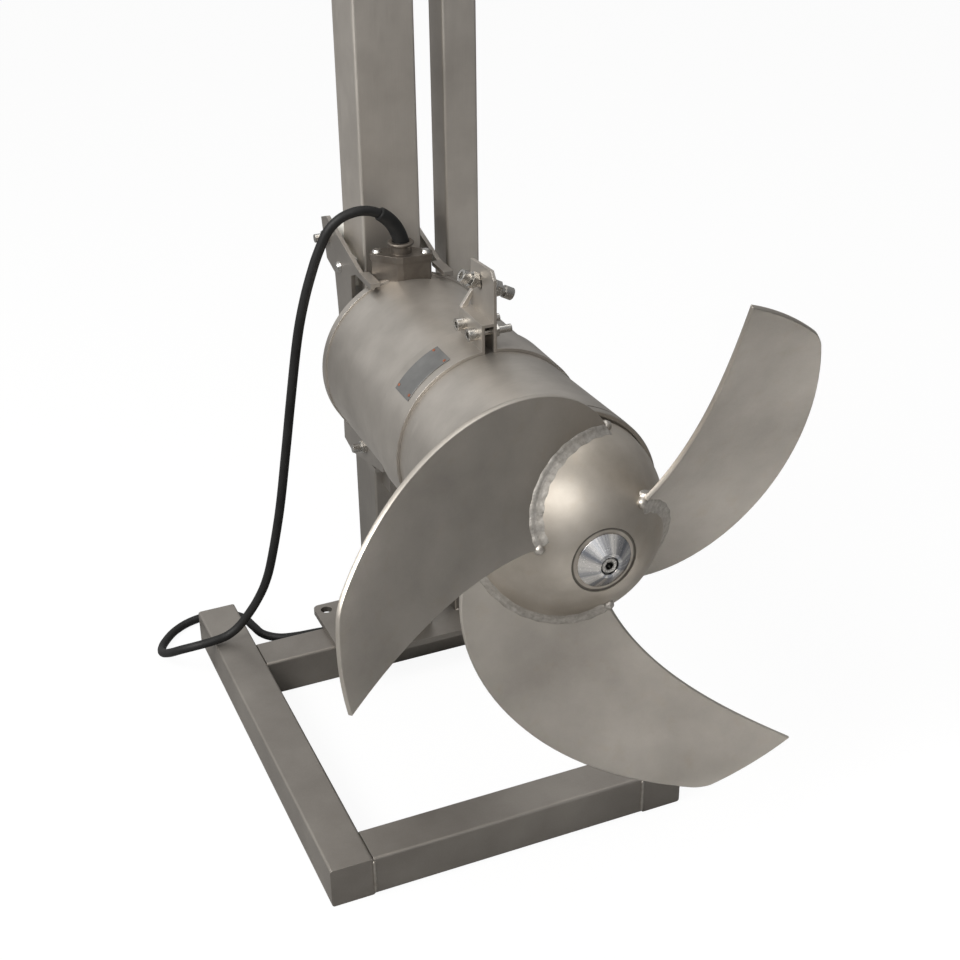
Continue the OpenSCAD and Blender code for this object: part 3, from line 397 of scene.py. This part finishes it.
# Weld seams of the stand: flat rippled beads of the same steel as the tubes, laid by hand along the
# joints of the tubes and round the posts' feet, and left as they were welded.
seam_half = 0.0024
seam_step = 0.0012
seam_sides = 8
seam_lines = {
    "front_left": ((-226, -502, 60), (-226, -448, 60)),
    "front_right": ((168, -502, 60), (168, -448, 60)),
    "front_left_face": ((-226, -505, 56), (-226, -505, 4)),
    "front_right_face": ((168, -505, 56), (168, -505, 4)),
    "rear_left": ((-226, -27, 60), (-226, 27, 60)),
    "rear_right": ((168, -27, 60), (168, 27, 60)),
    "front_left_inside": ((-226, -445, 56), (-226, -445, 4)),
    "rear_left_inside": ((-226, -30, 56), (-226, -30, 4)),
    "rail_front": ((-40, -42.5, 70), (40, -42.5, 70)),
    "rail_left": ((-42.5, -40, 70), (-42.5, 40, 70)),
    "rail_back": ((-40, 42.5, 70), (40, 42.5, 70)),
    "mast_front": ((90, -25, 70), (136, -25, 70)),
    "mast_right": ((138, -23, 70), (138, 23, 70)),
    "mast_back": ((90, 25, 70), (136, 25, 70)),
}
ripple_pitch, ripple_depth = 0.0036, 0.02
drift_pace, drift_shift, drift_depth = 0.37, 900, 0.06
run_out_length, run_out_start = 0.003, 0.35


def bead_radii(count, radius, step):
    """Radii along a weld bead: a ripple for each drop, a slow drift, and ends that run out."""
    out = []
    for i in range(count):
        ripple = ripple_depth * math.sin(i * step / ripple_pitch * 2 * math.pi)
        drift = drift_depth * math.sin(i * drift_pace + radius * drift_shift)
        run_out = min(1.0, run_out_start + min(i, count - 1 - i) * step / run_out_length)
        out.append(radius * (1 + ripple + drift) * run_out)
    return out


seam_steel = worn_finish("seam_steel", (0.34, 0.31, 0.27), (0.52, 0.49, 0.45), metallic=0.95,
                         rough=(0.28, 0.42), clouds=90.0, grain=500.0, relief=0.3)
for seam_name, (seam_a, seam_b) in seam_lines.items():
    start, end = Vector(seam_a) / 1000, Vector(seam_b) / 1000
    count = int((end - start).length / seam_step)
    line = [start + (end - start) * i / count for i in range(count + 1)]
    seam = piece_from_rings(f"seam_{seam_name}",
                            sweep_rings(line, bead_radii(len(line), seam_half, seam_step), seam_sides))
    dress(seam, seam_steel)
    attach(seam, "stand")

# Carriage: two stainless plates, cut to shape and joined by a cross bar, with nylon rollers and pads
# between them that run on the guide rail. Bright bolts hold the rollers and the pads.
plate_steel = worn_finish("plate_steel", (0.29, 0.27, 0.25), (0.38, 0.355, 0.325), metallic=0.9,
                          rough=(0.40, 0.52), clouds=12.0, grain=420.0, relief=0.10)
bolt_steel = worn_finish("bolt_steel", (0.42, 0.405, 0.38), (0.58, 0.565, 0.54), metallic=1.0,
                         rough=(0.20, 0.32), clouds=60.0, grain=500.0, relief=0.05)
roller_nylon = worn_finish("roller_nylon", (0.62, 0.61, 0.57), (0.72, 0.71, 0.66), metallic=0.0,
                           rough=(0.45, 0.60), clouds=20.0, grain=300.0, relief=0.08)
dress_nodes(plate_steel, "carriage_left_plate", "carriage_right_plate", "carriage_cross_bar")
dress_nodes(roller_nylon, "guide_pads", "guide_roller_upper", "guide_roller_lower")
dress_nodes(bolt_steel, "guide_pad_bolts", "roller_axles", "roller_nuts")

# Motor: a blasted stainless barrel with its covers, held in the carriage by a clamp band with screws.
# The cable entry on top is a darker block with a screwed flange and a gland ring.
barrel_steel = worn_finish("barrel_steel", (0.38, 0.353, 0.32), (0.54, 0.505, 0.462), metallic=0.9,
                           rough=(0.36, 0.47), clouds=11.0, grain=500.0, relief=0.08,
                           stretch=(0.05, 1.0, 0.05))
entry_steel = worn_finish("entry_steel", (0.12, 0.104, 0.088), (0.21, 0.187, 0.163), metallic=0.9,
                          rough=(0.38, 0.52), clouds=30.0, grain=500.0, relief=0.12)
dress_nodes(barrel_steel, "motor_casing", "rear_cover", "front_cover", "clamp_band")
dress_nodes(entry_steel, "gland_block", "gland_flange", "gland_ring")
dress_nodes(bolt_steel, "clamp_screws", "clamp_nuts", "lifting_bolt", "lifting_nuts", "gland_screws")

# Plate on the barrel: a thin sheet of metal with a dull grey coat.
# Four copper rivets hold it.
plate_grey = worn_finish("plate_grey", (0.15, 0.15, 0.148), (0.21, 0.21, 0.205), metallic=0.7,
                         rough=(0.30, 0.40), clouds=40.0, grain=600.0, relief=0.05)
rivet_copper = worn_finish("rivet_copper", (0.33, 0.12, 0.07), (0.42, 0.17, 0.10), metallic=0.8,
                           rough=(0.35, 0.45), clouds=60.0, grain=500.0, relief=0.05)
dress_nodes(plate_grey, "nameplate")
dress_nodes(rivet_copper, "nameplate_rivets")

# Inside of the motor: iron cores, copper windings, steel bearings, seal and shaft, and rubber rings
# in the joints of the covers, which hide all of it.
core_iron = worn_finish("core_iron", (0.12, 0.12, 0.13), (0.18, 0.18, 0.19), metallic=0.8,
                        rough=(0.45, 0.60), clouds=20.0, grain=400.0, relief=0.08)
winding_copper = worn_finish("winding_copper", (0.45, 0.18, 0.08), (0.60, 0.27, 0.13), metallic=0.8,
                             rough=(0.35, 0.50), clouds=30.0, grain=300.0, relief=0.2)
ring_rubber = worn_finish("ring_rubber", (0.012, 0.012, 0.012), (0.02, 0.02, 0.02), metallic=0.0,
                          rough=(0.5, 0.6), clouds=30.0, grain=500.0, relief=0.05)
dress_nodes(core_iron, "bearing_bracket", "stator_core", "rotor_core", "seal_seat")
dress_nodes(bolt_steel, "rear_bearing_outer", "rear_bearing_balls", "rear_bearing_inner",
            "front_bearing_outer", "front_bearing_balls", "front_bearing_inner", "shaft", "shaft_key",
            "seal_ring")
dress_nodes(winding_copper, "stator_windings")
dress_nodes(ring_rubber, "cover_o_rings")

# Propeller blades: rolled steel plate, 8 mm at the root and 6 mm at the tip, swept and raked forward.
# Each root follows the round dome and is welded to it, and the plate has faint warm stains.
hub_middle = Vector((0.0, -0.570, 0.558))
hub_radius = 0.123
blade_seat = 0.12325
blade_tip_radius = 0.3315
blade_rake = 0.0975
lead_root, lead_curl, lead_bow = 0.022, 0.056, 0.0815
lead_angle, lead_sweep, lead_bend = -53.0, 102.5, 19.0
trail_root, trail_bow = 0.0985, 0.023
trail_angle, trail_sweep, trail_bend = 42.75, 27.0, 9.0
blade_root_thick, blade_tip_thick = 0.008, 0.006
tip_round, tip_round_chord = 0.025, 0.10
blade_edge_round = 0.0007
blade_edge_angle = 1.0
chord_steps, chord_rim = 48, 0.006
span_steps, span_rim = 36, 0.005
blade_turns = {"blade_1": 120, "blade_2": 0, "blade_3": 240}


def blend(a, b, t):
    """The value a share t of the way from a to b."""
    return a + (b - a) * t


def blade_middle(u, v):
    """A point of the blade's middle face: u runs along the chord, v from root to tip."""
    bow = v * (1 - v)
    angle = math.radians(blend(lead_angle + lead_sweep * v + lead_bend * bow,
                               trail_angle + trail_sweep * v + trail_bend * bow, u))
    ahead = blend(lead_root + (blade_rake + lead_curl) * v - lead_bow * bow,
                  trail_root + blade_rake * v - trail_bow * bow, u)
    root = math.sqrt(blade_seat ** 2 - blend(lead_root, trail_root, u) ** 2)
    radius = blend(root, blade_tip_radius, v)
    return Vector((radius * math.cos(angle), -ahead, radius * math.sin(angle)))


def blade_normal(u, v):
    """The direction square to the middle face, from two short steps across it."""
    e = 0.002
    return (blade_middle(u + e, v) - blade_middle(u - e, v)).cross(
        blade_middle(u, v + e) - blade_middle(u, v - e)).normalized()


def blade_skin(u, v, side):
    """A point of one face of the blade, as far from the hub's middle as the middle face is there."""
    middle = blade_middle(u, v)
    spot = middle + side * blade_normal(u, v) * blend(blade_root_thick, blade_tip_thick, v) / 2
    return spot * (middle.length / spot.length)


def tip_span(u):
    """The share of the full span at a place on the chord, less near the rounded leading tip."""
    k = max(0.0, 1 - u / tip_round_chord)
    return 1 - tip_round * (1 - math.sqrt(1 - k * k))


def stain_group(name):
    """Faint warm stains, as a tint that a colour is multiplied by."""
    stain_scale, stain_detail = 55.0, 4.0
    stain_from = 0.56
    clean, stained = (1.0, 1.0, 1.0, 1.0), (0.956, 0.905, 0.831, 1.0)
    group, nodes, links, entry, leave = new_group(name, {}, {"Tint": "Color"})
    place = nodes.new("ShaderNodeTexCoord")
    noise = nodes.new("ShaderNodeTexNoise")
    noise.inputs["Scale"].default_value = stain_scale
    noise.inputs["Detail"].default_value = stain_detail
    amount = nodes.new("ShaderNodeMapRange")
    amount.inputs["From Min"].default_value = stain_from
    tint = nodes.new("ShaderNodeMix")
    tint.data_type = "RGBA"
    tint.inputs["A"].default_value = clean
    tint.inputs["B"].default_value = stained
    links.new(place.outputs["Object"], noise.inputs["Vector"])
    links.new(noise.outputs["Fac"], amount.inputs["Value"])
    links.new(amount.outputs["Result"], tint.inputs["Factor"])
    links.new(tint.outputs["Result"], leave.inputs["Tint"])
    return group


warm_stains = stain_group("warm_stains")


def add_stains(finish):
    """Lays the faint warm stains over a finish."""
    stains = finish.node_tree.nodes.new("ShaderNodeGroup")
    stains.node_tree = warm_stains
    dim_finish(finish, stains.outputs["Tint"])


blade_steel = worn_finish("blade_steel", (0.37, 0.341, 0.305), (0.56, 0.522, 0.472), metallic=0.9,
                          rough=(0.38, 0.50), clouds=7.0, grain=500.0, relief=0.06)
add_stains(blade_steel)
chord_marks = [0.0, chord_rim] + [k / chord_steps for k in range(1, chord_steps)] + [1 - chord_rim, 1.0]
span_marks = [0.0] + [k / span_steps for k in range(1, span_steps)] + [1 - span_rim, 1.0]
for node, degrees in blade_turns.items():
    turn = Matrix.Rotation(-math.radians(degrees), 3, "Y")
    mesh = bmesh.new()
    sheets = {}
    for side in (-1, 1):
        sheets[side] = [[mesh.verts.new(hub_middle + turn @ blade_skin(u, v * tip_span(u), side))
                         for v in span_marks] for u in chord_marks]
        for a, b in zip(sheets[side], sheets[side][1:]):
            for k in range(len(a) - 1):
                mesh.faces.new((a[k], a[k + 1], b[k + 1], b[k]))
    low, high = sheets[-1], sheets[1]
    outlines = [[row[0] for row in low], [row[-1] for row in low], low[0], low[-1]]
    fellows = [[row[0] for row in high], [row[-1] for row in high], high[0], high[-1]]
    for line, fellow in zip(outlines, fellows):
        for k in range(len(line) - 1):
            mesh.faces.new((line[k], line[k + 1], fellow[k + 1], fellow[k]))
    bmesh.ops.recalc_face_normals(mesh, faces=mesh.faces)
    corners = [e for e in mesh.edges if len(e.link_faces) == 2 and e.calc_face_angle() > blade_edge_angle]
    bmesh.ops.bevel(mesh, geom=corners, offset=blade_edge_round, segments=2, profile=0.5, affect="EDGES")
    blade = piece_from_mesh(f"{node}_plate", mesh)
    dress(blade, blade_steel)
    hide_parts(node)
    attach(blade, "rotor")

# Weld beads of the blades: a rippled bead of weld steel along both sides of each root, hollow between
# plate and dome, with a drop of weld at each end.
bead_step = 0.0011
bead_points = 160
bead_rise_span = 0.03
bead_section = ((-0.002, -0.001), (0.0104, -0.0010), (0.0074, 0.0012), (0.0048, 0.0030), (0.0028, 0.0052),
                (0.0014, 0.0080), (-0.002, 0.0085))
drop_radius = 0.0066
drop_lift = 0.001
drop_uneven = 0.06
bead_steel = worn_finish("bead_steel", (0.37, 0.342, 0.305), (0.61, 0.58, 0.54), metallic=0.95,
                         rough=(0.34, 0.48), clouds=170.0, grain=500.0, relief=0.35)
for node, degrees in blade_turns.items():
    turn = Matrix.Rotation(-math.radians(degrees), 3, "Y")
    for side in (-1, 1):
        rings = []
        for k, ripple in enumerate(bead_radii(bead_points + 1, 1.0, bead_step)):
            u = k / bead_points
            face = side * blade_normal(u, 0.0)
            outward = (blade_middle(u, 0.0) + face * blade_root_thick / 2).normalized()
            across = (face - face.dot(outward) * outward).normalized()
            rise = (blade_middle(u, bead_rise_span) - blade_middle(u, 0.0)).normalized()
            rings.append([hub_middle + turn @ (outward * hub_radius + ripple * (a * across + b * rise))
                          for a, b in bead_section])
        bead = piece_from_rings(f"{node}_bead_{'back' if side < 0 else 'front'}", rings)
        dress(bead, bead_steel)
        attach(bead, "rotor")
    for end, u in (("lead", 0.0), ("trail", 1.0)):
        core = hub_middle + turn @ (blade_middle(u, 0.0).normalized() * (hub_radius + drop_lift))
        mesh = bmesh.new()
        bmesh.ops.create_icosphere(mesh, subdivisions=3, radius=drop_radius)
        for point in mesh.verts:
            point.co *= 1 + drop_uneven * math.sin(900 * point.co.x + 5) * math.sin(800 * point.co.z)
            point.co += core
        drop = piece_from_mesh(f"{node}_drop_{end}", mesh)
        dress(drop, bead_steel)
        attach(drop, "rotor")

# Hub: a pressed dome of 5 mm sheet, ground smooth, with faint warm stains and a plate behind it.
# The boss inside it shows as a dull ring round the nose cap, with painted shade in a dark band where it meets
# the dome's hole.
dome_thick = 0.005
dome_back = 0.005
dome_hole = 0.0401
dome_columns = 160
dome_outer_steps, dome_inner_steps = 72, 36
boss_shade_radii, boss_shade_shares = (0.0366, 0.0376), (1.0, 0.30)


def dome_arc(radius, steps):
    """Points of the dome's outline on a ball, as radius and height, from its back edge to its hole."""
    back_angle, hole_angle = math.asin(dome_back / radius), math.acos(dome_hole / radius)
    angles = [blend(back_angle, hole_angle, k / steps) for k in range(steps + 1)]
    return [(radius * math.cos(angle), radius * math.sin(angle)) for angle in angles]


def axis_group(name):
    """A share that changes from one distance off the mixer's axis to another."""
    limits = {"Near": "From Min", "Far": "From Max", "Near Share": "To Min", "Far Share": "To Max"}
    group, nodes, links, entry, leave = new_group(
        name, {socket: "Float" for socket in limits}, {"Share": "Float"})
    place = nodes.new("ShaderNodeTexCoord")
    middle = nodes.new("ShaderNodeVectorMath")
    middle.operation = "SUBTRACT"
    middle.inputs[1].default_value = hub_middle
    flat = nodes.new("ShaderNodeVectorMath")
    flat.operation = "MULTIPLY"
    flat.inputs[1].default_value = (1.0, 0.0, 1.0)
    distance = nodes.new("ShaderNodeVectorMath")
    distance.operation = "LENGTH"
    share = nodes.new("ShaderNodeMapRange")
    links.new(place.outputs["Object"], middle.inputs[0])
    links.new(middle.outputs["Vector"], flat.inputs[0])
    links.new(flat.outputs["Vector"], distance.inputs[0])
    links.new(distance.outputs["Value"], share.inputs["Value"])
    for socket, limit in limits.items():
        links.new(entry.outputs[socket], share.inputs[limit])
    links.new(share.outputs["Result"], leave.inputs["Share"])
    return group


axis_share = axis_group("axis_share")


def fade_round_axis(finish, radii, shares):
    """Dims a finish from one distance off the mixer's axis to another, by a share at each."""
    fade = finish.node_tree.nodes.new("ShaderNodeGroup")
    fade.node_tree = axis_share
    for socket, value in zip(("Near", "Far", "Near Share", "Far Share"), radii + shares):
        fade.inputs[socket].default_value = value
    dim_finish(finish, fade.outputs["Share"])


hub_steel = worn_finish("hub_steel", (0.42, 0.376, 0.320), (0.60, 0.552, 0.490), metallic=0.95,
                        rough=(0.36, 0.47), clouds=14.0, grain=500.0, relief=0.06)
add_stains(hub_steel)
dome_profile = dome_arc(hub_radius, dome_outer_steps)
dome_profile += reversed(dome_arc(hub_radius - dome_thick, dome_inner_steps))
dome_rings = []
for k in range(dome_columns):
    angle = 2 * math.pi * k / dome_columns
    dome_rings.append([hub_middle + Vector((r * math.cos(angle), -s, r * math.sin(angle)))
                       for r, s in dome_profile])
dome = piece_from_rings("hub_dome", dome_rings, closed=True)
dress(dome, hub_steel)
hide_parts("hub_shell")
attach(dome, "rotor")
dress_nodes(hub_steel, "hub_back_plate")
boss_steel = worn_finish("boss_steel", (0.40, 0.36, 0.31), (0.54, 0.495, 0.44), metallic=0.95,
                         rough=(0.36, 0.47), clouds=60.0, grain=500.0, relief=0.06)
# Painted shade: the boss's colour falls to under a third from 37.6 mm off the axis outward.
fade_round_axis(boss_steel, boss_shade_radii, boss_shade_shares)
dress_nodes(boss_steel, "hub_boss")

# Nose cap: solid stainless, turned bright on a lathe and pulled against the boss by one screw.
# Its fine round grooves spread the light round the axis, and a fan of bright and dark bluish rays is painted
# into its colour by angle, as painted reflection.
# Painted reflection: noise by angle round the axis mixes the turned colour with this dark bluish shade.
painted_reflection_dark = (0.32, 0.33, 0.36, 1.0)
ray_scale, ray_detail = 2.6, 3.0
ray_low, ray_high = 0.40, 0.62
nose_steel = worn_finish("nose_steel", (0.88, 0.85, 0.81), (0.96, 0.93, 0.89), metallic=1.0,
                         rough=(0.20, 0.28), clouds=30.0, grain=600.0, relief=0.02)
nose_nodes, nose_links = nose_steel.node_tree.nodes, nose_steel.node_tree.links
nose_shader = nose_nodes["Principled BSDF"]
nose_shader.inputs["Anisotropic"].default_value = 0.9
nose_round = nose_nodes.new("ShaderNodeTangent")
nose_round.direction_type = "RADIAL"
nose_round.axis = "Y"
nose_place = nose_nodes.new("ShaderNodeTexCoord")
nose_middle = nose_nodes.new("ShaderNodeVectorMath")
nose_middle.operation = "SUBTRACT"
nose_middle.inputs[1].default_value = hub_middle
nose_flat = nose_nodes.new("ShaderNodeVectorMath")
nose_flat.operation = "MULTIPLY"
nose_flat.inputs[1].default_value = (1.0, 0.0, 1.0)
nose_way = nose_nodes.new("ShaderNodeVectorMath")
nose_way.operation = "NORMALIZE"
nose_noise = nose_nodes.new("ShaderNodeTexNoise")
nose_noise.inputs["Scale"].default_value = ray_scale
nose_noise.inputs["Detail"].default_value = ray_detail
nose_spread = nose_nodes.new("ShaderNodeMapRange")
nose_spread.inputs["From Min"].default_value = ray_low
nose_spread.inputs["From Max"].default_value = ray_high
nose_painted_rays = nose_nodes.new("ShaderNodeMix")
nose_painted_rays.data_type = "RGBA"
nose_painted_rays.inputs["A"].default_value = painted_reflection_dark
nose_links.new(nose_round.outputs["Tangent"], nose_shader.inputs["Tangent"])
nose_links.new(nose_place.outputs["Object"], nose_middle.inputs[0])
nose_links.new(nose_middle.outputs["Vector"], nose_flat.inputs[0])
nose_links.new(nose_flat.outputs["Vector"], nose_way.inputs[0])
nose_links.new(nose_way.outputs["Vector"], nose_noise.inputs["Vector"])
nose_links.new(nose_noise.outputs["Fac"], nose_spread.inputs["Value"])
nose_links.new(nose_spread.outputs["Result"], nose_painted_rays.inputs["Factor"])
nose_links.new(nose_nodes["surface"].outputs["Colour"], nose_painted_rays.inputs["B"])
nose_links.new(nose_painted_rays.outputs["Result"], nose_shader.inputs["Base Color"])
dress_nodes(nose_steel, "nose_cap")

# Nose screw: a bright steel screw in the middle of the nose cap, which it holds on the shaft.
# Its hexagon socket is painted dark, as painted shade in the recess.
socket_radius = 0.0048
socket_rim = 0.0005
socket_share = 0.05
screw_steel = worn_finish("screw_steel", (0.42, 0.405, 0.38), (0.58, 0.565, 0.54), metallic=1.0,
                          rough=(0.20, 0.32), clouds=60.0, grain=500.0, relief=0.05)
# Painted shade: the screw's colour drops to a twentieth within 4.8 mm of the axis, over the socket.
fade_round_axis(screw_steel, (socket_radius, socket_radius + socket_rim), (socket_share, 1.0))
dress_nodes(screw_steel, "nose_screw")

# Studio: a wide pale floor, an even pale surround, three soft lamps, and two low lamps that shine on
# the floor in front of the mixer, so that the blades mirror a lit floor.
floor_half = 40.0
floor_drop = 0.0005
floor_grey = (0.25, 0.25, 0.25)
floor_glow_strength = 1.22
floor_glow_share = 0.76
surround_side = (-0.62, 0.25, 0.74)
surround_low, surround_high = 0.06, 0.72
lamp_colour = (1.0, 0.985, 0.955)
floor_lamp_spread = math.radians(70)
floor_mesh = bmesh.new()
bmesh.ops.create_grid(floor_mesh, x_segments=1, y_segments=1, size=floor_half)
floor_data = bpy.data.meshes.new("studio_floor")
floor_mesh.to_mesh(floor_data)
floor_mesh.free()
floor = bpy.data.objects.new("studio_floor", floor_data)
floor.location.z = -floor_drop
scene.collection.objects.link(floor)
floor_paper, floor_nodes, floor_links, floor_shader = new_finish("floor_paper", 0.0, 0.9, floor_grey)
floor_glow = floor_nodes.new("ShaderNodeEmission")
floor_glow.inputs["Strength"].default_value = floor_glow_strength
floor_ray = floor_nodes.new("ShaderNodeLightPath")
floor_share = floor_nodes.new("ShaderNodeMath")
floor_share.operation = "MULTIPLY"
floor_share.inputs[1].default_value = floor_glow_share
floor_mix = floor_nodes.new("ShaderNodeMixShader")
floor_links.new(floor_ray.outputs["Is Camera Ray"], floor_share.inputs[0])
floor_links.new(floor_share.outputs["Value"], floor_mix.inputs["Fac"])
floor_links.new(floor_shader.outputs["BSDF"], floor_mix.inputs[1])
floor_links.new(floor_glow.outputs["Emission"], floor_mix.inputs[2])
floor_links.new(floor_mix.outputs["Shader"], floor_nodes["Material Output"].inputs["Surface"])
dress(floor, floor_paper)

studio = bpy.data.worlds.new("studio")
studio.use_nodes = True
scene.world = studio
studio_nodes, studio_links = studio.node_tree.nodes, studio.node_tree.links
surround = studio_nodes["Background"]
surround.inputs["Color"].default_value = (1.0, 1.0, 1.0, 1.0)
studio_ray = studio_nodes.new("ShaderNodeLightPath")
studio_place = studio_nodes.new("ShaderNodeTexCoord")
studio_side = studio_nodes.new("ShaderNodeVectorMath")
studio_side.operation = "DOT_PRODUCT"
studio_side.inputs[1].default_value = surround_side
studio_fall = studio_nodes.new("ShaderNodeMapRange")
studio_fall.inputs["From Min"].default_value = -1.0
studio_fall.inputs["To Min"].default_value = surround_low
studio_fall.inputs["To Max"].default_value = surround_high
studio_level = studio_nodes.new("ShaderNodeMapRange")
studio_links.new(studio_place.outputs["Generated"], studio_side.inputs[0])
studio_links.new(studio_side.outputs["Value"], studio_fall.inputs["Value"])
studio_links.new(studio_fall.outputs["Result"], studio_level.inputs["To Min"])
studio_links.new(studio_ray.outputs["Is Camera Ray"], studio_level.inputs["Value"])
studio_links.new(studio_level.outputs["Result"], surround.inputs["Strength"])


def soft_lamp(name, place, aim, size, power, spread=math.pi):
    """A round lamp that looks at a point."""
    lamp_data = bpy.data.lights.new(name, "AREA")
    lamp_data.spread = spread
    lamp_data.shape = "DISK"
    lamp_data.size = size
    lamp_data.energy = power
    lamp_data.color = lamp_colour
    lamp = bpy.data.objects.new(name, lamp_data)
    lamp.location = place
    lamp.rotation_euler = (Vector(aim) - Vector(place)).to_track_quat("-Z", "Y").to_euler()
    scene.collection.objects.link(lamp)


soft_lamp("key_lamp", (-2.4, -0.9, 2.6), (0.0, -0.4, 0.5), size=1.9, power=118.0)
soft_lamp("top_lamp", (0.4, 0.2, 3.4), (0.0, -0.3, 0.5), size=2.0, power=17.0)
soft_lamp("front_lamp", (-0.6, -2.7, 2.6), (0.0, -0.5, 0.5), size=1.8, power=15.0)
soft_lamp("right_floor_lamp", (0.55, -1.05, 0.7), (0.55, -1.0, 0.0), size=0.4, power=2.2,
          spread=floor_lamp_spread)
soft_lamp("front_floor_lamp", (-0.1, -1.75, 0.9), (-0.1, -1.7, 0.0), size=0.6, power=5.0,
          spread=floor_lamp_spread)
